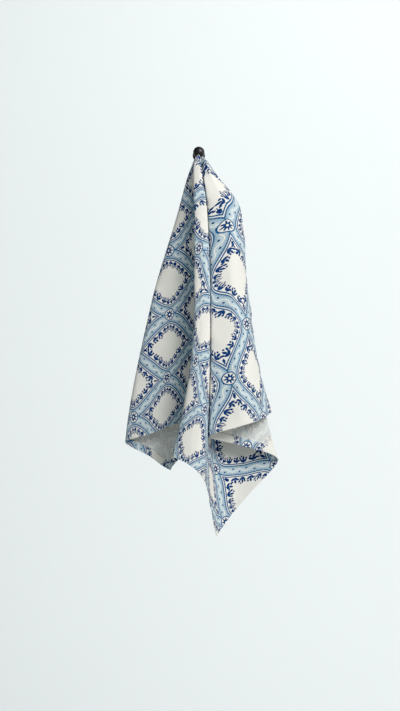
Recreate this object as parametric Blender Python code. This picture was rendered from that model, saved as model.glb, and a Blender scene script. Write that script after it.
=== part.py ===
"""A tea towel hanging from a small turned wall peg.

Metres, +Z up. The wall is the plane y = 0 and the towel hangs on its -Y side.
The origin is the centre of the peg's flat base, on the wall. The towel hangs by
the middle of one long hem, so it opens downwards as a folded fan whose rays all
leave the peg's neck. Each row of FOLDS is one ray of that fan, in order around
the cloth's edge.
"""

from collections import namedtuple

import bpy
import numpy as np

MM = 0.001

# Peg, turned about the Y axis
BASE_RADIUS = 10.5 * MM
BASE_LENGTH = 4.0 * MM
NECK_RADIUS = 4.2 * MM
HEAD_RADIUS = 9.5 * MM
HEAD_REACH = 48.0 * MM  # from the wall to the middle of the head
FLARE = 3.0 * MM  # how far the neck's ends run out into the base and the head
HEAD_FILLET = 0.8 * MM  # how much wider than the neck the head's back starts
BASE_EDGE = 1.0 * MM  # how far the base's front edge is turned off
PEG_SIDES = 40
HEAD_RINGS = 14

# Towel
CLOTH = 1.2 * MM  # thickness
SEAT_GAP = 0.4 * MM  # between the cloth and the neck it hangs on
SLACK = 1.0 * MM  # how much further out the cloth lies below the neck than on it
HOLD_Y = (-34.0 * MM, -21.0 * MM)  # the stretch of neck that the gathered hem passes over
HOLD_TURN = 138  # degrees round the neck, each way from its top, that it reaches
HOLD_STEPS = 24
FOLD_WIDTH = 0.5  # 0 to 1: how blunt the folds are, sideways
FOLD_DEPTH = 0.7  # 0 to 1: how much of the way back the cloth takes at its folds
COLUMNS_PER_GAP = 5  # between two neighbouring folds
ROWS_BETWEEN = (2, 2, 2, 3, 4, 8)  # rows in each stretch between the seven sections
STRAIGHT_SHARES = (0.35, 0.70)  # where a straight fold passes the two places between neck and collar
UNDER_Z = -14.0 * MM  # where a raised fold passes below the head
CROWN_GAP = 4.0 * MM  # between the front of the head and a raised fold
COLLAR_Z = -36.0 * MM
SHOULDER_Z = -100.0 * MM
WAIST_Z = -250.0 * MM

# Where a ray passes its seven sections, as a share of its way down
SECTIONS = (0.0, 0.03, 0.06, 0.10, 0.24, 0.50, 1.0)

# neck: degrees round the neck from its top, and y. rise: height of the crown in front of the head, or
# None where the cloth stays behind it. collar, shoulder and waist: x, y. hem: x, y, z. All in mm.
Fold = namedtuple("Fold", "name kind neck rise collar shoulder waist hem")
CORNER, TURN, PANEL = "corner of the cloth", "edge of a fold", "middle of a panel"
FOLDS = (
    Fold("corner_right", CORNER, (118, -27), None, (29, -35), (70.5, -44), (83, -46), (124, -46, -430)),
    Fold("right_edge", PANEL, (115, -31.5), None, (29, -45), (64, -63), (80, -68), (108, -72, -442)),
    Fold("right_belly", PANEL, (135, -36), -14, (18, -61), (44, -83), (54, -95), (64, -103, -456)),
    Fold("right_tuck", TURN, (165, -34.5), None, (6.8, -55), (15, -74), (19.8, -90), (15.8, -96, -472)),
    Fold("right_lining", PANEL, (158, -31.5), None, (15, -43), (38, -54), (50, -61), (68, -61, -488)),
    Fold("lower_turn", TURN, (138, -28.5), None, (22, -36), (64, -39), (78, -41), (132, -38, -514)),
    Fold("lower_panel", PANEL, (155, -25.5), None, (16, -31), (40, -30), (52, -30), (75, -30, -582)),
    Fold("tip", CORNER, (177, -27.5), None, (2.5, -32), (7, -38), (12, -44), (30, -50, -640)),
    Fold("roll_side", TURN, (176, -35), None, (5.3, -60), (13.5, -80), (18.7, -95), (9.5, -100, -543)),
    Fold("roll_front", PANEL, (190, -38.5), -6, (0.5, -66), (3, -88), (4, -106), (-17, -118, -516)),
    Fold("roll_turn", TURN, (226, -34.5), None, (-9, -61), (-8, -81), (-7, -99), (-43, -108, -500)),
    Fold("roll_tuck", TURN, (228, -32), None, (-9.5, -54), (-7, -73), (7, -75), (4, -78, -472)),
    Fold("left_tuck", PANEL, (232, -29), None, (-11.5, -47), (-11, -64), (-14, -59), (-34, -60, -452)),
    Fold("left_belly", PANEL, (238, -26), None, (-16, -41), (-24, -56), (-46, -54), (-82, -54, -470)),
    Fold("left_turn", TURN, (240, -23), None, (-17.5, -34), (-35, -42), (-79, -41), (-123, -39, -484)),
    Fold("left_lining", PANEL, (225, -21.5), None, (-12, -28), (-22, -30), (-50, -33), (-84, -34, -507)),
    Fold("corner_left", CORNER, (200, -20), None, (-5, -23.5), (-10, -24), (-26, -25), (-48, -22, -532)),
    Fold("back_right", TURN, (166, -16.5), None, (7, -18), (20, -18), (40, -18), (62, -18, -430)),
    Fold("back_left", TURN, (205, -13), None, (-7, -13), (-16, -11), (-26, -10), (-34, -9.5, -345)),
    Fold("corner_back", CORNER, (225, -10.5), None, (3, -8), (12, -5), (28, -4), (42, -3.5, -305)),
)


def material(name, colour, roughness):
    """A Principled material of one colour."""
    made = bpy.data.materials.new(name)
    made.use_nodes = True
    shader = made.node_tree.nodes["Principled BSDF"]
    shader.inputs["Base Color"].default_value = (*colour, 1.0)
    shader.inputs["Roughness"].default_value = roughness
    return made


def add_object(name, vertices, faces, made_of):
    """A mesh object with smooth sides and sharp edges."""
    mesh = bpy.data.meshes.new(name)
    mesh.from_pydata([tuple(map(float, v)) for v in vertices], [], faces)
    mesh.materials.append(made_of)
    mesh.shade_smooth()
    mesh.set_sharp_from_angle(angle=np.radians(40))
    placed = bpy.data.objects.new(name, mesh)
    bpy.context.scene.collection.objects.link(placed)
    return placed


def peg_profile():
    """(distance from the wall, radius) along the peg, from its base to the end of its head."""
    neck_start = BASE_LENGTH + FLARE
    join = np.arcsin((NECK_RADIUS + HEAD_FILLET) / HEAD_RADIUS)
    head_back = HEAD_REACH - HEAD_RADIUS * np.cos(join)
    profile = [
        (0.0, BASE_RADIUS - BASE_EDGE / 2),
        (BASE_EDGE / 2, BASE_RADIUS),
        (BASE_LENGTH - BASE_EDGE, BASE_RADIUS),
        (BASE_LENGTH, BASE_RADIUS - BASE_EDGE),
        (BASE_LENGTH + FLARE / 4, NECK_RADIUS + FLARE / 3),
        (neck_start, NECK_RADIUS),
        (head_back - FLARE / 3, NECK_RADIUS),
    ]
    for angle in np.linspace(np.pi - join, 0.0, HEAD_RINGS)[:-1]:
        profile.append((HEAD_REACH + HEAD_RADIUS * np.cos(angle), HEAD_RADIUS * np.sin(angle)))
    return profile


def make_peg():
    """One turned solid: a flat base on the wall, a neck and a round head."""
    turns = np.radians(np.arange(PEG_SIDES) * 360 / PEG_SIDES)
    vertices = []
    for reach, radius in peg_profile():
        vertices += [(radius * np.sin(a), -reach, radius * np.cos(a)) for a in turns]
    rings = len(vertices) // PEG_SIDES
    nose = len(vertices)
    vertices.append((0.0, -(HEAD_REACH + HEAD_RADIUS), 0.0))
    faces = [tuple(range(PEG_SIDES))]
    for side in range(PEG_SIDES):
        after = (side + 1) % PEG_SIDES
        for ring in range(rings - 1):
            low = ring * PEG_SIDES
            high = low + PEG_SIDES
            faces.append((low + after, low + side, high + side, high + after))
        last = (rings - 1) * PEG_SIDES
        faces.append((last + after, last + side, nose))
    return add_object("peg", vertices, faces, material("blackened_metal", (0.02, 0.02, 0.022), 0.4))


def slopes(knots, values):
    """Slopes at the knots that keep a cubic curve from swinging past its own points."""
    step = np.diff(knots)[:, None]
    rate = np.diff(values, axis=0) / step
    made = np.zeros_like(values)
    same_way = rate[:-1] * rate[1:] > 0
    first_weight = 2 * step[1:] + step[:-1]
    last_weight = step[1:] + 2 * step[:-1]
    with np.errstate(divide="ignore", invalid="ignore"):
        mean = (first_weight + last_weight) / (first_weight / rate[:-1] + last_weight / rate[1:])
    made[1:-1] = np.where(same_way, mean, 0.0)
    for end, near in ((0, 1), (-1, -2)):
        bend = (2 * step[end] + step[near]) * rate[end] - step[end] * rate[near]
        limits = np.sort([np.zeros_like(rate[end]), 3 * rate[end]], axis=0)
        made[end] = np.clip(bend / (step[end] + step[near]), *limits)
    return made


def through(knots, values, at):
    """The smooth curve through values at the knots, read at each place in at."""
    knots = np.asarray(knots, float)
    shape = np.shape(values)[1:]
    values = np.reshape(values, (len(knots), -1)).astype(float)
    slope = slopes(knots, values)
    cell = np.clip(np.searchsorted(knots, at, side="right") - 1, 0, len(knots) - 2)
    width = (knots[cell + 1] - knots[cell])[:, None]
    part = (np.asarray(at)[:, None] - knots[cell][:, None]) / width
    start = values[cell] * (1 + 2 * part) * (1 - part) ** 2 + slope[cell] * width * part * (1 - part) ** 2
    end = values[cell + 1] * (3 - 2 * part) * part**2 - slope[cell + 1] * width * (1 - part) * part**2
    return (start + end).reshape((len(at), *shape))


def round_neck(turn, y):
    """Points of the cloth's middle surface on the neck, at turn degrees from its top, slacker below."""
    turn = np.radians(turn)
    reach = NECK_RADIUS + SEAT_GAP + CLOTH / 2 + SLACK * (1 - np.cos(turn)) / 2
    return np.stack((reach * np.sin(turn), y, reach * np.cos(turn)), axis=-1)


def brow(fold, neck, collar):
    """The two places between neck and collar: before the head, or straight down."""
    if fold.rise is None:
        return [neck + (collar - neck) * share for share in STRAIGHT_SHARES]
    side = (neck[0] + collar[0]) / 2
    crown_y = -(HEAD_REACH + HEAD_RADIUS + CROWN_GAP)
    return (side, -HEAD_REACH, UNDER_Z), (side, crown_y, fold.rise * MM)


def ray_points(fold):
    """The seven places that a fold's ray passes, from the neck to the hem."""
    neck = round_neck(fold.neck[0], fold.neck[1] * MM)
    collar = np.array((fold.collar[0] * MM, fold.collar[1] * MM, COLLAR_Z))
    under, crown = brow(fold, neck, collar)
    shoulder = (fold.shoulder[0] * MM, fold.shoulder[1] * MM, SHOULDER_Z)
    waist = (fold.waist[0] * MM, fold.waist[1] * MM, WAIST_Z)
    return [neck, under, crown, collar, shoulder, waist, np.array(fold.hem) * MM]


def turned(at):
    """How far each place between two folds is from a turned edge, as a small shift along the folds."""
    edge = np.array([fold.kind == TURN for fold in FOLDS], float)
    before = np.minimum(at.astype(int), len(FOLDS) - 2)
    part = at - before
    return edge[before] * part * (1 - part) ** 2 - edge[before + 1] * part**2 * (1 - part)


def across_folds(at):
    """The rays of all columns. The hem's height turns sharply at the cloth's four corners only."""
    rays = np.array([ray_points(fold) for fold in FOLDS])
    count = range(len(FOLDS))
    blunt = at - FOLD_WIDTH * turned(at)
    deep = at + FOLD_DEPTH * turned(at)
    made = through(count, rays, blunt)
    made[..., 1] = through(count, rays[..., 1], deep)
    corners = [i for i, fold in enumerate(FOLDS) if fold.kind == CORNER]
    for first, last in zip(corners[:-1], corners[1:]):
        inside = (at >= first) & (at <= last)
        side = through(range(first, last + 1), rays[first : last + 1, -1, 2:], blunt[inside])
        made[inside, -1, 2:] = side
    neck = through(count, [fold.neck for fold in FOLDS], at)
    made[:, 0] = round_neck(neck[:, 0], neck[:, 1] * MM)
    return made


def towel_grid():
    """The cloth's middle surface, as rows of points from the neck down to the hem."""
    at = np.linspace(0, len(FOLDS) - 1, (len(FOLDS) - 1) * COLUMNS_PER_GAP + 1)
    columns = across_folds(at)
    down = [0.0]
    for count, low, high in zip(ROWS_BETWEEN, SECTIONS[:-1], SECTIONS[1:]):
        down += [low + (high - low) * (i + 1) / count for i in range(count)]
    return through(SECTIONS, columns.transpose(1, 0, 2), np.array(down))


def normals_of(grid):
    """Unit normals of the middle surface, on its printed side."""
    along = np.gradient(grid, axis=1)
    down = np.gradient(grid, axis=0)
    normal = np.cross(along, down)
    return normal / np.linalg.norm(normal, axis=2, keepdims=True)


def sheet_mesh():
    """Vertices and faces of the folded cloth as one closed sheet."""
    grid = towel_grid()
    offset = normals_of(grid) * (CLOTH / 2)
    rows, columns = grid.shape[:2]
    vertices = np.concatenate([(grid + offset).reshape(-1, 3), (grid - offset).reshape(-1, 3)])
    back = rows * columns
    faces = []
    for row in range(rows - 1):
        for column in range(columns - 1):
            a = row * columns + column
            b = a + 1
            c = b + columns
            d = a + columns
            faces.append((a, b, c, d))
            faces.append((back + a, back + d, back + c, back + b))
    edge = list(range(columns))
    edge += [row * columns + columns - 1 for row in range(1, rows)]
    edge += [(rows - 1) * columns + column for column in range(columns - 2, -1, -1)]
    edge += [row * columns for row in range(rows - 2, 0, -1)]
    for a, b in zip(edge, edge[1:] + edge[:1]):
        faces.append((b, a, back + a, back + b))
    return vertices, faces


def hold_mesh():
    """Vertices and faces of the gathered hem where it passes over the neck, as a curved band."""
    inner = NECK_RADIUS + SEAT_GAP
    outer = inner + CLOTH
    corners = [(inner, HOLD_Y[0]), (outer, HOLD_Y[0]), (outer, HOLD_Y[1]), (inner, HOLD_Y[1])]
    vertices = []
    for turn in np.radians(np.linspace(-HOLD_TURN, HOLD_TURN, HOLD_STEPS + 1)):
        vertices += [(reach * np.sin(turn), y, reach * np.cos(turn)) for reach, y in corners]
    faces = [(3, 2, 1, 0)]
    for step in range(HOLD_STEPS):
        for side in range(4):
            a = step * 4 + side
            b = step * 4 + (side + 1) % 4
            faces.append((a, b, b + 4, a + 4))
    last = HOLD_STEPS * 4
    faces.append((last, last + 1, last + 2, last + 3))
    return vertices, faces


def make_towel():
    """The folded cloth, joined to the part of its hem that holds it on the neck."""
    cotton = material("printed_cotton", (0.78, 0.80, 0.80), 0.85)
    towel = add_object("towel", *sheet_mesh(), cotton)
    hold = add_object("towel_hold", *hold_mesh(), cotton)
    hold.hide_render = True
    hold.display_type = "WIRE"
    join = towel.modifiers.new("join", "BOOLEAN")
    join.operation = "UNION"
    join.object = hold
    return towel


def main():
    for old in list(bpy.data.objects):
        bpy.data.objects.remove(old)
    make_peg()
    make_towel()


main()
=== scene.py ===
"""The looks of a tea towel that hangs from a small wall peg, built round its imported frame.

Metres, +Z up. The wall is the plane y = 0 and the towel hangs on its -Y side.
"""

from collections import namedtuple

import bpy
import numpy as np
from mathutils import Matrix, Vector


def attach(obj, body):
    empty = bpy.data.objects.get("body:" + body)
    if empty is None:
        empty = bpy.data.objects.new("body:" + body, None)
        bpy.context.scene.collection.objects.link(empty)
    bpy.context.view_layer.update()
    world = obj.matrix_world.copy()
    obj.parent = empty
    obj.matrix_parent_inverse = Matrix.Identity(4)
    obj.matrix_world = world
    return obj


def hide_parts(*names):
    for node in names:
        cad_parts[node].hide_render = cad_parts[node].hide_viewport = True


MM = 0.001

# Peg, as the CAD has it
NECK_RADIUS = 4.2 * MM
HEAD_RADIUS = 9.5 * MM
HEAD_REACH = 48.0 * MM  # from the wall to the middle of the head

# Middle surface of the towel, as the CAD has it
CLOTH = 1.2 * MM  # thickness of the CAD solid
SEAT_GAP = 0.4 * MM  # between the cloth and the neck it hangs on
SLACK = 1.0 * MM  # how much further out the cloth lies below the neck than on it
HOLD_Y = (-34.0 * MM, -21.0 * MM)  # the stretch of neck that the gathered hem passes over
FOLD_WIDTH = 0.5  # 0 to 1: how blunt the folds are, sideways
FOLD_DEPTH = 0.7  # 0 to 1: how much of the way back the cloth takes at its folds
STRAIGHT_SHARES = (0.35, 0.70)  # where a straight fold passes the two places between neck and collar
UNDER_Z = -14.0 * MM  # where a raised fold passes below the head
CROWN_GAP = 4.0 * MM  # between the front of the head and a raised fold
COLLAR_Z = -36.0 * MM
SHOULDER_Z = -100.0 * MM
WAIST_Z = -250.0 * MM
SECTIONS = (0.0, 0.03, 0.06, 0.10, 0.24, 0.50, 1.0)  # shares of its way down where a ray passes them

# The flat towel, with its corner of u = 0 and v = 0 at the tip that hangs lowest
FLAT_WIDTH = 0.500
FLAT_LENGTH = 0.800
HELD_AT = (0.500, 0.470)  # the place on the long hem that lies on the peg
GATHER = 0.033  # how much cloth round that place is used up in the gather
HEM_WIDTH = 0.0125

# Each row is a ray of the cloth, in order round its edge. neck: degrees round the neck from its top,
# and y. rise: height of the crown in front of the head, or None where the cloth stays behind it.
# collar, shoulder and waist: x, y. hem: x, y, z. along: how far round the flat towel's edge the ray
# ends, from its corner at u = 500, v = 0. All lengths in mm. The rows are those of the CAD solid, but
# for roll_side, roll_turn and roll_tuck: they make the crown before the head broader, for which only
# this thinner cloth has room.
Fold = namedtuple("Fold", "name kind neck rise collar shoulder waist hem along")
CORNER, TURN, PANEL = "corner of the cloth", "edge of a fold", "middle of a panel"
FOLDS = [Fold(*row) for row in (
    ("corner_right", CORNER, (118, -27), None, (29, -35), (70.5, -44), (83, -46), (124, -46, -430), 0),
    ("right_edge", PANEL, (115, -31.5), None, (29, -45), (64, -63), (80, -68), (108, -72, -442), 33),
    ("right_belly", PANEL, (135, -36), -14, (18, -61), (44, -83), (54, -95), (64, -103, -456), 92),
    ("right_tuck", TURN, (165, -34.5), None, (6.8, -55), (15, -74), (19.8, -90), (15.8, -96, -472), 153),
    ("right_lining", PANEL, (158, -31.5), None, (15, -43), (38, -54), (50, -61), (68, -61, -488), 236),
    ("lower_turn", TURN, (138, -28.5), None, (22, -36), (64, -39), (78, -41), (132, -38, -514), 333),
    ("lower_panel", PANEL, (155, -25.5), None, (16, -31), (40, -30), (52, -30), (75, -30, -582), 420),
    ("tip", CORNER, (177, -27.5), None, (2.5, -32), (7, -38), (12, -44), (30, -50, -640), 500),
    ("roll_side", TURN, (176, -35), -12, (5.3, -60), (13.5, -80), (18.7, -95), (9.5, -100, -543), 640),
    ("roll_front", PANEL, (190, -38.5), -6, (0.5, -66), (3, -88), (4, -106), (-17, -118, -516), 710),
    ("roll_turn", TURN, (226, -34.5), -14, (-9, -61), (-8, -81), (-7, -99), (-43, -108, -500), 780),
    ("roll_tuck", TURN, (228, -32), None, (-7.8, -52), (-5.2, -70), (7, -75), (4, -78, -472), 880),
    ("left_tuck", PANEL, (232, -29), None, (-11.5, -47), (-11, -64), (-14, -59), (-34, -60, -452), 975),
    ("left_belly", PANEL, (238, -26), None, (-16, -41), (-24, -56), (-46, -54), (-82, -54, -470), 1062),
    ("left_turn", TURN, (240, -23), None, (-17.5, -34), (-35, -42), (-79, -41), (-123, -39, -484), 1147),
    ("left_lining", PANEL, (225, -21.5), None, (-12, -28), (-22, -30), (-50, -33), (-84, -34, -507), 1223),
    ("corner_left", CORNER, (200, -20), None, (-5, -23.5), (-10, -24), (-26, -25), (-48, -22, -532), 1300),
    ("back_right", TURN, (166, -16.5), None, (7, -18), (20, -18), (40, -18), (62, -18, -430), 1483),
    ("back_left", TURN, (205, -13), None, (-7, -13), (-16, -11), (-26, -10), (-34, -9.5, -345), 1633),
    ("corner_back", CORNER, (225, -10.5), None, (3, -8), (12, -5), (28, -4), (42, -3.5, -305), 1800),
)]

# Fineness of the shown cloth
HEM_SPACING = 5.5 * MM  # between columns, at the hem
LEAST_COLUMNS = 9  # between two neighbouring folds
DENSE_ROWS = 900  # points along a ray for measuring its length
BODY_ROWS = 150
ROW_CROWDING = 1.3  # above 1, rows crowd towards the neck
HEM_ROWS = (15.0, 13.0, 12.5, 12.0, 9.0, 6.0, 3.0, 1.0, 0.0)  # mm from the edge of the cloth
SHEET_HALF = 0.25 * MM  # half the thickness of the shown cloth
HEM_PLIES = 0.85 * MM  # how much further the turned hem stands off on the reverse
HEM_SOFTNESS = 0.2 * MM  # half the width of the step where the turned hem ends
SHARP_ANGLE = 50  # degrees between faces, above which an edge is shaded sharp

# Small unevenness of the cloth: count waves that run each way over it, of pitches in metres
Waves = namedtuple("Waves", "seed count shortest longest")
PLEAT_BENDS = Waves(5, 4, 0.25, 0.5)
SLACK_WAVES = Waves(11, 6, 0.07, 0.16)
FLUTTER_WAVES = Waves(23, 5, 0.03, 0.06)
RUMPLE_WAVES = Waves(31, 9, 0.014, 0.035)
PLEATS_ROUND = 31  # pleats in a full turn round the held place
PLEAT_BENDING = 0.9  # radians of a pleat
PLEAT_HEIGHT = 0.45 * MM
SLACK_HEIGHT = 0.8 * MM
FLUTTER_HEIGHT = 0.8 * MM
RUMPLE_HEIGHT = 0.36 * MM

# Where that unevenness sets in or fades: metres over the flat cloth from the held place
PLEATS_START = (0.05, 0.12)
PLEATS_END = (0.16, 0.34)
SLACK_START = (0.12, 0.25)
FLUTTER_START = (0.2, 0.35)
RUMPLE_START = (0.06, 0.15)
FLUTTER_WIDTH = 0.03  # metres from the edge of the cloth
CALM_PLACES = (0.05, 0.4)  # places from a turned edge, where 1 is the next fold


def slopes(knots, values):
    """Slopes at the knots that keep a cubic curve from swinging past its own points."""
    step = np.diff(knots)[:, None]
    rate = np.diff(values, axis=0) / step
    made = np.zeros_like(values)
    same_way = rate[:-1] * rate[1:] > 0
    first_weight = 2 * step[1:] + step[:-1]
    last_weight = step[1:] + 2 * step[:-1]
    with np.errstate(divide="ignore", invalid="ignore"):
        mean = (first_weight + last_weight) / (first_weight / rate[:-1] + last_weight / rate[1:])
    made[1:-1] = np.where(same_way, mean, 0.0)
    for end, near in ((0, 1), (-1, -2)):
        bend = (2 * step[end] + step[near]) * rate[end] - step[end] * rate[near]
        limits = np.sort([np.zeros_like(rate[end]), 3 * rate[end]], axis=0)
        made[end] = np.clip(bend / (step[end] + step[near]), *limits)
    return made


def through(knots, values, at):
    """The smooth curve through values at the knots, read at each place in at."""
    knots = np.asarray(knots, float)
    shape = np.shape(values)[1:]
    values = np.reshape(values, (len(knots), -1)).astype(float)
    slope = slopes(knots, values)
    cell = np.clip(np.searchsorted(knots, at, side="right") - 1, 0, len(knots) - 2)
    width = (knots[cell + 1] - knots[cell])[:, None]
    part = (np.asarray(at)[:, None] - knots[cell][:, None]) / width
    start = values[cell] * (1 + 2 * part) * (1 - part) ** 2 + slope[cell] * width * part * (1 - part) ** 2
    end = values[cell + 1] * (3 - 2 * part) * part**2 - slope[cell + 1] * width * (1 - part) * part**2
    return (start + end).reshape((len(at), *shape))


def smooth(value, low, high):
    """0 below low, 1 above high, and a soft step between them."""
    part = np.clip((value - low) / (high - low), 0.0, 1.0)
    return part * part * (3 - 2 * part)


def round_neck(turn, y):
    """Points of the cloth's middle surface on the neck, at turn degrees from its top, slacker below."""
    turn = np.radians(turn)
    reach = NECK_RADIUS + SEAT_GAP + CLOTH / 2 + SLACK * (1 - np.cos(turn)) / 2
    return np.stack((reach * np.sin(turn), y, reach * np.cos(turn)), axis=-1)


def brow(fold, neck, collar):
    """The two places between neck and collar: before the head, or straight down."""
    if fold.rise is None:
        return [neck + (collar - neck) * share for share in STRAIGHT_SHARES]
    side = (neck[0] + collar[0]) / 2
    crown_y = -(HEAD_REACH + HEAD_RADIUS + CROWN_GAP)
    return (side, -HEAD_REACH, UNDER_Z), (side, crown_y, fold.rise * MM)


def ray_points(fold):
    """The seven places that a fold's ray passes, from the neck to the hem."""
    neck = round_neck(fold.neck[0], fold.neck[1] * MM)
    collar = np.array((fold.collar[0] * MM, fold.collar[1] * MM, COLLAR_Z))
    under, crown = brow(fold, neck, collar)
    shoulder = (fold.shoulder[0] * MM, fold.shoulder[1] * MM, SHOULDER_Z)
    waist = (fold.waist[0] * MM, fold.waist[1] * MM, WAIST_Z)
    return [neck, under, crown, collar, shoulder, waist, np.array(fold.hem) * MM]


def folds_of(kind):
    """The numbers in FOLDS of the folds of one kind."""
    return [number for number, fold in enumerate(FOLDS) if fold.kind == kind]


def turned(at):
    """How far each place between two folds is from a turned edge, as a small shift along the folds."""
    edge = np.array([fold.kind == TURN for fold in FOLDS], float)
    before = np.minimum(at.astype(int), len(FOLDS) - 2)
    part = at - before
    return edge[before] * part * (1 - part) ** 2 - edge[before + 1] * part**2 * (1 - part)


def across_folds(at):
    """The rays of all columns. The hem's height turns sharply at the cloth's four corners only."""
    rays = np.array([ray_points(fold) for fold in FOLDS])
    count = range(len(FOLDS))
    blunt = at - FOLD_WIDTH * turned(at)
    deep = at + FOLD_DEPTH * turned(at)
    made = through(count, rays, blunt)
    made[..., 1] = through(count, rays[..., 1], deep)
    corners = folds_of(CORNER)
    for first, last in zip(corners[:-1], corners[1:]):
        between = (at >= first) & (at <= last)
        side = through(range(first, last + 1), rays[first : last + 1, -1, 2:], blunt[between])
        made[between, -1, 2:] = side
    neck = through(count, [fold.neck for fold in FOLDS], at)
    made[:, 0] = round_neck(neck[:, 0], neck[:, 1] * MM)
    return made


def column_places():
    """Places between the folds where the columns run, close enough for a smooth hem."""
    hems = np.array([fold.hem for fold in FOLDS]) * MM
    places = []
    for gap, width in enumerate(np.linalg.norm(np.diff(hems, axis=0), axis=1)):
        count = max(LEAST_COLUMNS, int(np.ceil(width / HEM_SPACING)))
        places += list(gap + np.arange(count) / count)
    return np.array(places + [len(FOLDS) - 1.0])


def hem_points(at):
    """(place on the flat towel's edge, its distance from the line of the held place) for each column."""
    along = through(range(len(FOLDS)), [[fold.along] for fold in FOLDS], at)[:, 0] * MM
    corners = [FOLDS[number].along * MM for number in folds_of(CORNER)]
    u = np.interp(along, corners, (FLAT_WIDTH, 0.0, 0.0, FLAT_WIDTH))
    v = np.interp(along, corners, (0.0, 0.0, FLAT_LENGTH, FLAT_LENGTH))
    heights = (HELD_AT[1], FLAT_WIDTH, FLAT_LENGTH - HELD_AT[1])
    sides = np.clip(np.searchsorted(corners, along, side="right") - 1, 0, len(heights) - 1)
    return np.stack((u, v), axis=-1), np.array(heights)[sides]


def row_shares(length, height):
    """How far down its ray each row of each column lies, 0 to 1, with the last rows along the hem."""
    per_metre = length / (height * (length - GATHER))
    hem = 1 - np.array(HEM_ROWS)[:, None] * MM * per_metre
    body = (np.arange(BODY_ROWS) / BODY_ROWS) ** ROW_CROWDING
    return np.concatenate([body[:, None] * hem[:1], hem])


def towel_surface():
    """The cloth's middle surface as rows of points, with each point's place on the flat towel."""
    at = column_places()
    rays = across_folds(at)
    dense = through(SECTIONS, rays.transpose(1, 0, 2), np.linspace(0, 1, DENSE_ROWS))
    steps = np.linalg.norm(np.diff(dense, axis=0), axis=2)
    run = np.concatenate([np.zeros((1, len(at))), np.cumsum(steps, axis=0)])
    run /= run[-1]
    edge, height = hem_points(at)
    out = edge - np.array(HELD_AT)
    length = np.linalg.norm(out, axis=1)
    shares = row_shares(length, height)
    grid = np.empty((*shares.shape, 3))
    for column in range(len(at)):
        for axis in range(3):
            grid[:, column, axis] = np.interp(shares[:, column], run[:, column], dense[:, column, axis])
    reach = GATHER + (length - GATHER) * shares
    flat = np.array(HELD_AT) + (out / length[:, None])[None] * reach[..., None]
    return grid, flat


def normals_of(grid):
    """Unit normals of the middle surface, on its printed side."""
    normal = np.cross(np.gradient(grid, axis=1), np.gradient(grid, axis=0))
    return normal / np.linalg.norm(normal, axis=2, keepdims=True)


def edge_distance(flat):
    """How far each place on the flat towel is from its nearest edge."""
    u, v = flat[..., 0], flat[..., 1]
    return np.minimum(np.minimum(u, FLAT_WIDTH - u), np.minimum(v, FLAT_LENGTH - v))


def ripples(flat, waves):
    """Soft uneven waves over the flat cloth, each way, mostly between -1 and 1."""
    chance = np.random.default_rng(waves.seed)
    total = np.zeros(flat.shape[:2])
    for _ in range(waves.count):
        heading = chance.uniform(0, np.pi)
        pitch = chance.uniform(waves.shortest, waves.longest)
        phase = chance.uniform(0, 2 * np.pi)
        run = flat[..., 0] * np.cos(heading) + flat[..., 1] * np.sin(heading)
        total += np.sin(2 * np.pi * run / pitch + phase)
    return total / np.sqrt(waves.count)


def calm_at_turns():
    """0 at the turned edge of a fold, where cloth lies close to cloth, and 1 in the panels."""
    at = column_places()
    return smooth(np.abs(at[:, None] - folds_of(TURN)).min(axis=1), *CALM_PLACES)


def wrinkled(grid, flat):
    """The surface with small pleats by the gather, slack and rumples in the panels and an uneven hem."""
    out = flat - np.array(HELD_AT)
    reach = np.linalg.norm(out, axis=2)
    angle = np.arctan2(out[..., 1], -out[..., 0])
    pleats = np.sin(angle * PLEATS_ROUND + ripples(flat, PLEAT_BENDS) * PLEAT_BENDING)
    pleats *= smooth(reach, *PLEATS_START) * (1 - smooth(reach, *PLEATS_END))
    slack = ripples(flat, SLACK_WAVES) * smooth(reach, *SLACK_START)
    flutter = ripples(flat, FLUTTER_WAVES) * (1 - smooth(edge_distance(flat), 0.0, FLUTTER_WIDTH))
    flutter *= smooth(reach, *FLUTTER_START)
    rumple = ripples(flat, RUMPLE_WAVES) * smooth(reach, *RUMPLE_START)
    push = PLEAT_HEIGHT * pleats + SLACK_HEIGHT * slack
    push = push + FLUTTER_HEIGHT * flutter + RUMPLE_HEIGHT * rumple
    return grid + normals_of(grid) * (push * calm_at_turns())[..., None]


# Corners of a quad on the reverse, seen from there. They start at the corner from which it is split.
SPLIT_AS_FACE = (0, 3, 2, 1)
SPLIT_ACROSS_FACE = (3, 2, 1, 0)


def closed_sheet(front, back, flat, split):
    """Vertices, faces, flat places and each face's side, for a closed sheet between two grids."""
    rows, columns = front.shape[:2]
    under = rows * columns
    index = np.arange(under).reshape(rows, columns)
    corners = (index[:-1, :-1], index[:-1, 1:], index[1:, 1:], index[1:, :-1])
    printed = np.stack([corner.ravel() for corner in corners], axis=1)
    reverse = under + printed[:, split]
    edge = np.concatenate([index[0], index[1:, -1], index[-1, -2::-1], index[-2:0:-1, 0]])
    after = np.roll(edge, -1)
    rim = np.stack([after, edge, under + edge, under + after], axis=1)
    vertices = np.concatenate([front.reshape(-1, 3), back.reshape(-1, 3)])
    faces = np.concatenate([printed, reverse, rim])
    side = np.repeat([0, 1, 0], [len(printed), len(reverse), len(rim)])
    return vertices, faces, np.tile(flat.reshape(-1, 2), (2, 1)), side


def towel_parts():
    """The towel as a closed thin sheet, thicker on its reverse where the hem is turned over."""
    surface, flat = towel_surface()
    grid = wrinkled(surface, flat)
    normal = normals_of(grid)
    hem = 1 - smooth(edge_distance(flat), HEM_WIDTH - HEM_SOFTNESS, HEM_WIDTH + HEM_SOFTNESS)
    back = grid - normal * (SHEET_HALF + HEM_PLIES * hem)[..., None]
    return closed_sheet(grid + normal * SHEET_HALF, back, flat, SPLIT_AS_FACE)


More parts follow.
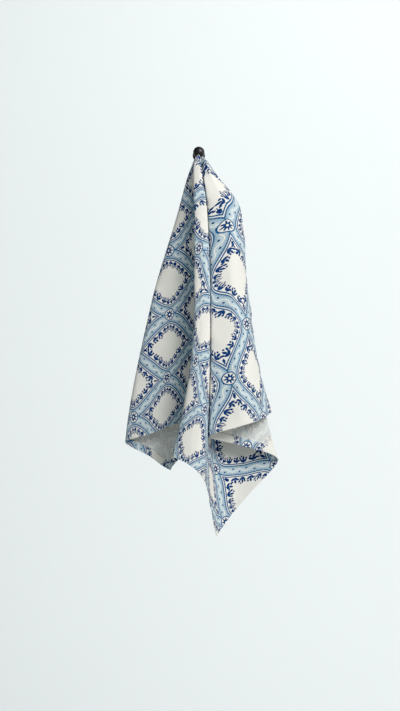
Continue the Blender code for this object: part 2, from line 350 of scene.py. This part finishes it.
# The gathered hem where it passes over the neck
BAND_THICKNESS = 0.8 * MM
BAND_REACH = 150.0  # degrees round the neck, each way from its top
BAND_TURNS = 97
BAND_COLUMNS = 41
BAND_PLEATS = 4.5
BAND_CLOTH = 0.035  # width of the flat cloth that is gathered into it
PLEAT_TWIST = 0.6  # how many pleats they drift along the neck in a full turn round it
PLEAT_LIFT = 0.45 * MM
SPREAD_FROM = 40.0  # degrees from the top of the neck where it starts to spread
SPREAD_FORWARD = 1.5 * MM
SPREAD_BACK = 7.0 * MM
SPREAD_LIFT = 0.6 * MM


def gather_surface():
    """The gathered hem's middle surface: rows round the neck, each of points that run along it."""
    turn = np.linspace(-BAND_REACH, BAND_REACH, BAND_TURNS)[:, None]
    angle = np.radians(turn)
    across = np.linspace(1.0, 0.0, BAND_COLUMNS)[None, :]
    spread = smooth(np.abs(turn), SPREAD_FROM, BAND_REACH)
    low = HOLD_Y[0] - SPREAD_FORWARD * spread
    high = HOLD_Y[1] + SPREAD_BACK * spread
    y = low + (high - low) * across
    pleat = np.sin(2 * np.pi * BAND_PLEATS * across + angle * PLEAT_TWIST)
    lift = PLEAT_LIFT * (1 + pleat) + SPREAD_LIFT * spread
    reach = NECK_RADIUS + SEAT_GAP + BAND_THICKNESS / 2 + lift
    grid = np.stack((reach * np.sin(angle), y, reach * np.cos(angle)), axis=-1)
    run = reach * angle
    u = FLAT_WIDTH - BAND_CLOTH * np.broadcast_to(across, run.shape)
    return grid, np.stack((u, HELD_AT[1] - run), axis=-1)


def gather_parts():
    """The gathered hem as a closed thin sheet, printed side out."""
    grid, flat = gather_surface()
    shift = normals_of(grid) * BAND_THICKNESS / 2
    return closed_sheet(grid + shift, grid - shift, flat, SPLIT_ACROSS_FACE)


def add_mesh(name, vertices, faces, flat, side, materials):
    """A smooth mesh object with its flat places as a UV map in metres."""
    mesh = bpy.data.meshes.new(name)
    mesh.from_pydata(vertices.tolist(), [], faces.tolist())
    for material in materials:
        mesh.materials.append(material)
    mesh.polygons.foreach_set("material_index", side.astype(np.int32))
    places = mesh.uv_layers.new(name="flat")
    corners = np.empty(len(mesh.loops), np.int32)
    mesh.loops.foreach_get("vertex_index", corners)
    places.data.foreach_set("uv", flat[corners].astype(np.float32).ravel())
    mesh.shade_smooth()
    mesh.set_sharp_from_angle(angle=np.radians(SHARP_ANGLE))
    placed = bpy.data.objects.new(name, mesh)
    bpy.context.scene.collection.objects.link(placed)
    return placed


class Number:
    """A number that varies over a material, with the usual arithmetic."""

    def __init__(self, tree, socket):
        self.tree = tree
        self.socket = socket

    def math(self, operation, *others):
        node = self.tree.nodes.new("ShaderNodeMath")
        node.operation = operation
        for place, given in zip(node.inputs, (self, *others)):
            if isinstance(given, Number):
                self.tree.links.new(given.socket, place)
            else:
                place.default_value = given
        return Number(self.tree, node.outputs[0])

    def __add__(self, other):
        return self.math("ADD", other)

    def __radd__(self, other):
        return self.math("ADD", other)

    def __sub__(self, other):
        return self.math("SUBTRACT", other)

    def __rsub__(self, other):
        return self.math("MULTIPLY_ADD", -1.0, other)

    def __mul__(self, other):
        return self.math("MULTIPLY", other)

    def __rmul__(self, other):
        return self.math("MULTIPLY", other)

    def __truediv__(self, other):
        return self.math("DIVIDE", other)

    def __abs__(self):
        return self.math("ABSOLUTE")

    def least(self, other):
        return self.math("MINIMUM", other)

    def most(self, other):
        return self.math("MAXIMUM", other)

    def sine(self):
        return self.math("SINE")

    def cosine(self):
        return self.math("COSINE")

    def wrapped(self, period):
        """The distance from the nearest whole period, from -period / 2 to period / 2."""
        return self.math("WRAP", period / 2, -period / 2)

    def step(self, low, high):
        """0 at low, 1 at high, and a soft step between them. low may be the larger."""
        node = self.tree.nodes.new("ShaderNodeMapRange")
        node.interpolation_type = "SMOOTHSTEP"
        self.tree.links.new(self.socket, node.inputs["Value"])
        ends = (low, high, 0.0, 1.0) if low < high else (high, low, 1.0, 0.0)
        for name, end in zip(("From Min", "From Max", "To Min", "To Max"), ends):
            node.inputs[name].default_value = end
        return Number(self.tree, node.outputs["Result"])


SOFT = 0.12  # mm, half of a printed edge's softness


def inside(distance):
    """1 where a distance in mm is below zero."""
    return distance.step(SOFT, -SOFT)


def hypot(x, y):
    """The length of a step of x and y."""
    return (x * x + y * y).math("SQRT")


# The trellis, in mm on the flat cloth. off: distance from the wavy line that its bands follow.
CELL_WIDTH = 54.0
CELL_HEIGHT = 150.0
CELL_SHIFT = 0.35 * CELL_WIDTH
SWING = 21.5
NEAREST_STEPS = 3
ARC_STEPS = 720
BAND_HALF = 6.6
SHADE_FROM = 1.6  # off, where the band's darker shading sets in
HATCHES = 104  # half-waves of hatching along one cell's length of the line
HATCH_EDGE = 0.4
HATCH_SHARE = 0.55  # how much of the shading is hatched
INNER_LINE = 7.5
OUTER_LINE = 10.5
LINE_HALF = 0.9
VINE_WAVES = 8
VINE_SWING = 2.6
VINE_HALF = 0.6
BEAD_RADIUS = 1.2
ROSETTE = 9.5
PETALS = 8
PETAL_REACH = 6.0
PETAL_SWING = 1.9
PETAL_SHARPNESS = 4.0
EYE_RADIUS = 1.8
SPRIG_BASE = 12.0
SPRIG_CLEAR = 2.0  # between a rosette and the nearest sprigs

# A sprig along the trellis, in mm: run is along the band, rise is away from it, lean is in degrees
Leaf = namedtuple("Leaf", "run rise lean half_length half_width")
Berry = namedtuple("Berry", "run rise radius")
SPRIGS_PER_CELL = 7
LEAVES = (
    Leaf(-9.0, 2.8, 128, 3.9, 1.95),
    Leaf(-4.1, 3.0, 50, 3.9, 1.90),
    Leaf(-6.6, 7.0, 88, 4.0, 1.80),
    Leaf(-1.0, 7.2, 60, 3.1, 1.55),
    Leaf(3.8, 2.8, 134, 3.8, 1.90),
    Leaf(8.6, 3.4, 42, 3.9, 1.85),
    Leaf(5.2, 7.1, 108, 3.7, 1.70),
)
BERRIES = (
    Berry(-10.8, 7.0, 1.55),
    Berry(-3.4, 10.6, 1.45),
    Berry(9.3, 7.9, 1.60),
    Berry(0.2, 3.6, 1.35),
)
STEMS = (-6.4, 6.0)  # run
STEM_MIDDLE = 2.2  # rise
STEM_HALF_LENGTH = 3.6
STEM_HALF_WIDTH = 0.45


def leaf_distance(run, rise, leaf):
    """Below zero inside a pointed leaf."""
    lean = np.radians(leaf.lean)
    x = run - leaf.run
    y = rise - leaf.rise
    along = x * np.cos(lean) + y * np.sin(lean)
    aside = abs(y * np.cos(lean) - x * np.sin(lean))
    return aside - leaf.half_width + along * along * (leaf.half_width / leaf.half_length**2)


def sprigs(run, rise):
    """1 on the dark leaves, berries and stems that grow along the band."""
    found = leaf_distance(run, rise, LEAVES[0])
    for leaf in LEAVES[1:]:
        found = found.least(leaf_distance(run, rise, leaf))
    for berry in BERRIES:
        found = found.least(hypot(run - berry.run, rise - berry.rise) - berry.radius)
    for stem in STEMS:
        aside = abs(run - stem) - STEM_HALF_WIDTH
        found = found.least(aside.most(abs(rise - STEM_MIDDLE) - STEM_HALF_LENGTH))
    return inside(found)


def nearest_on_line(across, v):
    """(signed distance, foot) from the trellis's wavy line. foot is v at the line's nearest place."""
    wave = 2 * np.pi / CELL_HEIGHT
    foot = v
    for _ in range(NEAREST_STEPS):
        turn = foot * wave
        aside = across - (turn.cosine() * SWING + CELL_WIDTH / 2)
        ahead = v - foot
        slope = turn.sine() * (-SWING * wave)
        stretch = slope * slope + 1.0
        foot = foot + (aside * slope + ahead) / stretch
    return (aside - ahead * slope) / stretch.math("SQRT"), foot


def arc_length(foot):
    """(place along the wavy line, in cells, close to true, and the length of one cell of it)."""
    wave = 2 * np.pi / CELL_HEIGHT
    turn = np.arange(ARC_STEPS) * 2 * np.pi / ARC_STEPS
    rate = np.sqrt(1 + (SWING * wave * np.sin(turn)) ** 2)
    mean = rate.mean()
    second = -2 * (rate * np.cos(2 * turn)).mean() / mean
    share = foot / CELL_HEIGHT - (foot * (2 * wave)).sine() * (second / (4 * np.pi))
    return share, mean * CELL_HEIGHT


def round_crossing(across, v):
    """(distance, direction) from the nearest place where two bands meet."""
    lengthwise = v.wrapped(CELL_HEIGHT)
    shifted = (v + CELL_HEIGHT / 2).wrapped(CELL_HEIGHT)
    near = hypot(CELL_WIDTH - across, lengthwise)
    far = hypot(across, shifted)
    first = inside(near - far)
    x = (CELL_WIDTH - across) * first + across * (1.0 - first)
    y = lengthwise * first + shifted * (1.0 - first)
    return near.least(far), y.math("ARCTAN2", x)


def on_line(distance):
    """1 on a blue line, from the signed distance to its middle."""
    return inside(abs(distance) - LINE_HALF)


def vine_and_beads(side, share):
    """1 on the vine that winds along the band, and 1 on the beads in its bays."""
    sway = share * (2 * np.pi * VINE_WAVES)
    bays = sway.sine() * VINE_SWING
    beads = hypot(side + bays, sway.cosine() * VINE_SWING) - BEAD_RADIUS
    return inside(abs(side - bays) - VINE_HALF), inside(beads)


def flower(radius, angle):
    """1 on the rosette's petals and its eye."""
    petal = radius / ((angle * PETALS).cosine() * PETAL_SWING + PETAL_REACH)
    return inside((petal - 1.0) * PETAL_SHARPNESS) * inside(EYE_RADIUS - radius)


def print_masks(u, v):
    """1 on the pale band, its shading, the blue lines, the cream vine and the dark motifs."""
    across = (u + CELL_SHIFT).math("PINGPONG", CELL_WIDTH)
    side, foot = nearest_on_line(across, v)
    share, length = arc_length(foot)
    radius, angle = round_crossing(across, v)
    off = abs(side)
    clear = inside(ROSETTE - radius)
    band = inside(off - BAND_HALF) * clear
    hatch = (share * (np.pi * HATCHES)).sine().step(-HATCH_EDGE, HATCH_EDGE)
    shade = off.step(SHADE_FROM, BAND_HALF) * (hatch * HATCH_SHARE + (1.0 - HATCH_SHARE)) * band
    lines = on_line(off - INNER_LINE).most(on_line(off - OUTER_LINE)) * clear
    lines = lines.most(on_line(radius - ROSETTE))
    vine, beads = vine_and_beads(side, share)
    run = share.wrapped(1.0 / SPRIGS_PER_CELL) * length
    dark = sprigs(run, off - SPRIG_BASE) * inside(ROSETTE + SPRIG_CLEAR - radius)
    dark = dark.most(flower(radius, angle)).most(beads * band)
    return band, shade, lines, vine * band, dark


def new_tree(name):
    """(material, its nodes, its Principled shader, u, v), with u and v the flat place in mm."""
    made = bpy.data.materials.new(name)
    made.use_nodes = True
    tree = made.node_tree
    places = tree.nodes.new("ShaderNodeUVMap")
    places.uv_map = "flat"
    split = tree.nodes.new("ShaderNodeSeparateXYZ")
    tree.links.new(places.outputs["UV"], split.inputs[0])
    u = Number(tree, split.outputs["X"]) * (1 / MM)
    v = Number(tree, split.outputs["Y"]) * (1 / MM)
    return made, tree, tree.nodes["Principled BSDF"], u, v


def mixed(tree, share, first, second):
    """The colour between first and second. Each is a socket or three numbers."""
    node = tree.nodes.new("ShaderNodeMix")
    node.data_type = "RGBA"
    colour_inputs = [place for place in node.inputs if place.type == "RGBA"]
    tree.links.new(share.socket, node.inputs[0])
    for place, given in zip(colour_inputs, (first, second)):
        if isinstance(given, tuple):
            place.default_value = (*given, 1.0)
        else:
            tree.links.new(given, place)
    return next(place for place in node.outputs if place.type == "RGBA")


def noise(tree, x, y):
    """Noise over a plane, 0 to 1, about one bump to each unit of x and y."""
    join = tree.nodes.new("ShaderNodeCombineXYZ")
    tree.links.new(x.socket, join.inputs[0])
    tree.links.new(y.socket, join.inputs[1])
    node = tree.nodes.new("ShaderNodeTexNoise")
    node.noise_dimensions = "2D"
    node.inputs["Scale"].default_value = 1.0
    node.inputs["Detail"].default_value = 2.0
    tree.links.new(join.outputs[0], node.inputs["Vector"])
    return Number(tree, node.outputs[0])


# Threads, in mm on the flat cloth
THREAD = 0.62  # from one thread to the next
THREAD_RELIEF = 0.25
SLUB_WIDTH = 0.7
WARP_SLUB = 14.0  # length of the thick places in the threads that run along v
WEFT_SLUB = 16.0  # and of those in the threads along u
SLUB_SHIFT = 40.0  # keeps the two ways apart in the noise

# Hem and stitches, in mm on the flat cloth
HEM = HEM_WIDTH / MM
RIDGE = (11.6, 12.6)  # from the edge, where the face steps up from the hem to the panel
RIDGE_HEIGHT = 0.6
STITCHES_FROM_EDGE = 11.0
STITCH_PITCH = 3.2
STITCH_LENGTH = 2.2
STITCH_HALF_WIDTH = 0.28
STITCH_DEPTH = 0.8
THREAD_COVER = 0.7  # how much of the print a stitch's thread covers

# Colours, linear
CREAM = (0.80, 0.785, 0.735)
PALE_BLUE = (0.44, 0.555, 0.62)
DEEP_BLUE = (0.17, 0.30, 0.42)
LINE_BLUE = (0.016, 0.100, 0.240)
NAVY = (0.004, 0.045, 0.160)
REVERSE_LIGHT = (0.79, 0.78, 0.73)
REVERSE_DARK = (0.68, 0.675, 0.62)
METAL_DARK = (0.010, 0.010, 0.011)
METAL_LIGHT = (0.045, 0.043, 0.040)

# How the threads' tone changes them
GROUND_TONES = (0.2, 0.8)
WORN_TONES = (0.35, 0.75)
SHADED_CREAM = 0.93  # of the cream's brightness
INK_KEPT = 0.62  # of the pale blue, where its threads are worn
SHADE_WORN = 0.2
LINES_WORN = 0.08
DARK_WORN = 0.04
SHOW_THROUGH = 0.32  # how much of the print shows on the reverse

# Finishes. A bump is its strength, and how high a height of 1 stands.
COTTON = {
    "Roughness": 0.88,
    "Specular IOR Level": 0.15,
    "Sheen Weight": 0.03,
    "Sheen Roughness": 0.5,
}
COTTON_BUMP = (0.5, 0.12 * MM)
METAL_BUMP = (0.25, 0.2 * MM)
METAL_GRAIN = 140.0  # bumps in a metre
METAL_DETAIL = 5.0
METAL_TONES = (0.35, 0.75)
METAL_ROUGHNESS = (0.27, 0.52)
METAL_GLOSS = 0.5


def weave(tree, u, v):
    """(height, tone) of a plain weave with uneven threads. The tone is about 0 to 1."""
    warp = (u * (2 * np.pi / THREAD)).sine()
    weft = (v * (2 * np.pi / THREAD)).sine()
    warp_slub = noise(tree, u / SLUB_WIDTH, v / WARP_SLUB)
    weft_slub = noise(tree, u / WEFT_SLUB + SLUB_SHIFT, v / SLUB_WIDTH)
    tone = (warp_slub + weft_slub) * 0.5
    return (warp * weft) * THREAD_RELIEF + tone, tone


def bump(tree, height, strength, distance):
    """A normal that shows height, where distance is how high a height of 1 stands."""
    node = tree.nodes.new("ShaderNodeBump")
    node.inputs["Strength"].default_value = strength
    node.inputs["Distance"].default_value = distance
    tree.links.new(height.socket, node.inputs["Height"])
    return node.outputs["Normal"]


def hem_fields(u, v):
    """(distance from the nearest edge, distance along it), in mm."""
    sides = u.least(FLAT_WIDTH / MM - u)
    ends = v.least(FLAT_LENGTH / MM - v)
    on_side = inside(sides - ends)
    return sides.least(ends), v * on_side + u * (1.0 - on_side)


def stitches(edge, run):
    """1 on the hem's row of stitches."""
    dash = run.math("PINGPONG", STITCH_PITCH / 2)
    return inside(abs(edge - STITCHES_FROM_EDGE) - STITCH_HALF_WIDTH) * inside(dash - STITCH_LENGTH / 2)


def past_edge(place, size):
    """The place on the face that the turned hem shows: as far outside the edge as it lies inside it."""
    near = place.least(HEM) * inside(place - HEM)
    far = (size - place).least(HEM) * inside(size - place - HEM)
    return place - 2.0 * near + 2.0 * far


def cloth_colour(tree, u, v, tone):
    """The printed side's colour, with the ground's threads showing through the print."""
    band, shade, lines, vine, dark = print_masks(u, v)
    worn = tone.step(*WORN_TONES)
    shaded = tuple(SHADED_CREAM * cream for cream in CREAM)
    thin_blue = tuple(INK_KEPT * blue + (1 - INK_KEPT) * cream for blue, cream in zip(PALE_BLUE, CREAM))
    ground = mixed(tree, tone.step(*GROUND_TONES), shaded, CREAM)
    pale = mixed(tree, worn, PALE_BLUE, thin_blue)
    colour = mixed(tree, band, ground, pale)
    colour = mixed(tree, shade * (1.0 - worn * SHADE_WORN), colour, DEEP_BLUE)
    colour = mixed(tree, vine, colour, CREAM)
    colour = mixed(tree, lines * (1.0 - worn * LINES_WORN), colour, LINE_BLUE)
    return mixed(tree, dark * (1.0 - worn * DARK_WORN), colour, NAVY)


def finish_cloth(tree, shader, colour, height):
    """Give the shader cotton's finish with this colour and height."""
    tree.links.new(colour, shader.inputs["Base Color"])
    tree.links.new(bump(tree, height, *COTTON_BUMP), shader.inputs["Normal"])
    for name, value in COTTON.items():
        shader.inputs[name].default_value = value


def printed_cotton():
    """Cream cotton printed with a trellis in two blues."""
    made, tree, shader, u, v = new_tree("printed_cotton_face")
    height, tone = weave(tree, u, v)
    edge, run = hem_fields(u, v)
    stitch = stitches(edge, run)
    colour = mixed(tree, stitch * THREAD_COVER, cloth_colour(tree, u, v, tone), CREAM)
    ridge = edge.step(*RIDGE) * RIDGE_HEIGHT
    finish_cloth(tree, shader, colour, height + ridge - stitch * STITCH_DEPTH)
    return made


def reverse_cotton():
    """The unprinted side: the print shows through faintly, and the turned hem shows its face."""
    made, tree, shader, u, v = new_tree("printed_cotton_reverse")
    height, tone = weave(tree, u, v)
    edge, run = hem_fields(u, v)
    stitch = stitches(edge, run)
    face_u = past_edge(u, FLAT_WIDTH / MM)
    face_v = past_edge(v, FLAT_LENGTH / MM)
    face = cloth_colour(tree, face_u, face_v, tone)
    plain = mixed(tree, tone.step(*GROUND_TONES), REVERSE_DARK, REVERSE_LIGHT)
    share = inside(edge - HEM) * (1.0 - SHOW_THROUGH) + SHOW_THROUGH
    colour = mixed(tree, stitch * THREAD_COVER, mixed(tree, share, plain, face), CREAM)
    finish_cloth(tree, shader, colour, height - stitch * STITCH_DEPTH)
    return made


def blackened_metal():
    """Dark satin metal, a little uneven and worn."""
    made = bpy.data.materials.new("blackened_metal_satin")
    made.use_nodes = True
    tree = made.node_tree
    shader = tree.nodes["Principled BSDF"]
    place = tree.nodes.new("ShaderNodeTexCoord")
    mottle = tree.nodes.new("ShaderNodeTexNoise")
    mottle.inputs["Scale"].default_value = METAL_GRAIN
    mottle.inputs["Detail"].default_value = METAL_DETAIL
    tree.links.new(place.outputs["Object"], mottle.inputs["Vector"])
    grain = Number(tree, mottle.outputs[0])
    smoothest, roughest = METAL_ROUGHNESS
    colour = mixed(tree, grain.step(*METAL_TONES), METAL_DARK, METAL_LIGHT)
    roughness = grain * (roughest - smoothest) + smoothest
    tree.links.new(colour, shader.inputs["Base Color"])
    tree.links.new(roughness.socket, shader.inputs["Roughness"])
    tree.links.new(bump(tree, grain, *METAL_BUMP), shader.inputs["Normal"])
    shader.inputs["Specular IOR Level"].default_value = METAL_GLOSS
    return made


FLOOR_Z = -1.5
STAGE_RADIUS = 5.0
STAGE_CURVE = 2.4
STAGE_HEIGHT = 4.5
STAGE_SIDES = 96
CURVE_STEPS = 12
STAGE_COLOUR = (0.80, 0.83, 0.83, 1.0)


def stage_profile():
    """(radius, z) of the stage, from the middle of its floor to the top of its wall."""
    floor_radius = STAGE_RADIUS - STAGE_CURVE
    profile = [(0.0, FLOOR_Z), (floor_radius, FLOOR_Z)]
    for turn in np.radians(np.linspace(0, 90, CURVE_STEPS + 1)[1:]):
        rise = STAGE_CURVE * (1 - np.cos(turn))
        profile.append((floor_radius + STAGE_CURVE * np.sin(turn), FLOOR_Z + rise))
    return profile + [(STAGE_RADIUS, FLOOR_Z + STAGE_HEIGHT)]


def stage_mesh():
    """The stage's profile turned about the Z axis."""
    profile = stage_profile()
    turns = np.radians(np.arange(STAGE_SIDES) * 360 / STAGE_SIDES)
    vertices = [(0.0, 0.0, FLOOR_Z)]
    for radius, z in profile[1:]:
        vertices += [(radius * np.cos(turn), radius * np.sin(turn), z) for turn in turns]
    faces = []
    for side in range(STAGE_SIDES):
        after = (side + 1) % STAGE_SIDES
        faces.append((0, 1 + side, 1 + after))
        for ring in range(len(profile) - 2):
            low = 1 + ring * STAGE_SIDES
            high = low + STAGE_SIDES
            faces.append((low + side, high + side, high + after, low + after))
    mesh = bpy.data.meshes.new("stage")
    mesh.from_pydata(np.array(vertices).tolist(), [], faces)
    mesh.shade_smooth()
    return mesh


def add_stage():
    """A plain pale floor that curves up all round into a pale wall."""
    made = bpy.data.materials.new("pale_stage")
    made.use_nodes = True
    shader = made.node_tree.nodes["Principled BSDF"]
    shader.inputs["Base Color"].default_value = STAGE_COLOUR
    shader.inputs["Roughness"].default_value = 1.0
    shader.inputs["Specular IOR Level"].default_value = 0.0
    mesh = stage_mesh()
    mesh.materials.append(made)
    stage = bpy.data.objects.new("stage", mesh)
    bpy.context.scene.collection.objects.link(stage)


# Round lights: size in metres, power in watts
Light = namedtuple("Light", "name place aim size power colour")
LIGHTS = (
    Light("key", (1.48, -1.96, 1.4), (0.0, -0.06, -0.32), 1.7, 87.0, (1.0, 0.99, 0.97)),
    Light("backdrop", (0.8, 1.8, 2.2), (0.5, 4.8, -0.6), 1.5, 92.0, (1.0, 1.0, 1.0)),
)
FILL_COLOUR = (0.86, 0.94, 1.0, 1.0)
FILL_STRENGTH = 0.15


def add_lights():
    """A soft key from the upper right, a light for the far wall and a dim fill."""
    for row in LIGHTS:
        data = bpy.data.lights.new(row.name, "AREA")
        data.shape = "DISK"
        data.size = row.size
        data.energy = row.power
        data.color = row.colour
        light = bpy.data.objects.new(row.name, data)
        light.location = row.place
        light.rotation_euler = (Vector(row.aim) - Vector(row.place)).to_track_quat("-Z", "Y").to_euler()
        bpy.context.scene.collection.objects.link(light)
    world = bpy.data.worlds.new("fill")
    world.use_nodes = True
    background = world.node_tree.nodes["Background"]
    background.inputs["Color"].default_value = FILL_COLOUR
    background.inputs["Strength"].default_value = FILL_STRENGTH
    bpy.context.scene.world = world


CAMERA_PLACE = (0.002, -2.85, -0.339)
LENS = 85.06  # mm
SENSOR_WIDTH = 36.0  # mm


def add_camera():
    """A level camera that looks along +Y."""
    data = bpy.data.cameras.new("camera")
    data.lens = LENS
    data.sensor_width = SENSOR_WIDTH
    camera = bpy.data.objects.new("camera", data)
    camera.location = CAMERA_PLACE
    camera.rotation_euler = (np.pi / 2, 0.0, 0.0)
    bpy.context.scene.collection.objects.link(camera)
    bpy.context.scene.camera = camera


# Points of the picture's curve for all three colours: (light, as shown)
ALL_COLOURS = 3
SHADOW_CURVE = ((0.012, 0.004), (0.045, 0.026), (0.12, 0.112), (0.25, 0.25))


def set_picture():
    """Plain colours, with the deepest shadows a little deeper, as printed pictures have them."""
    view = bpy.context.scene.view_settings
    view.view_transform = "Standard"
    view.use_curve_mapping = True
    curve = view.curve_mapping.curves[ALL_COLOURS]
    for light, shown in SHADOW_CURVE:
        curve.points.new(light, shown)
    view.curve_mapping.update()


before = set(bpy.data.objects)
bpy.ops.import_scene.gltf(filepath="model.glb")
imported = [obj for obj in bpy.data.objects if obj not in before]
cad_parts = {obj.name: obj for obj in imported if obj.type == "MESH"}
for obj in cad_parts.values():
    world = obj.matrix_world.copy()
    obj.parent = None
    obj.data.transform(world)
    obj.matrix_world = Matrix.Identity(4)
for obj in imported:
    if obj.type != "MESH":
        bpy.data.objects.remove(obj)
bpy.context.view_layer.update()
add_camera()

cotton = [printed_cotton(), reverse_cotton()]
towel = add_mesh("towel_cloth", *towel_parts(), cotton)
gather = add_mesh("towel_gather", *gather_parts(), cotton)
for piece in (towel, gather):
    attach(piece, "root")
    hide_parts("towel")
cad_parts["peg"].material_slots[0].material = blackened_metal()

add_stage()
add_lights()
set_picture()
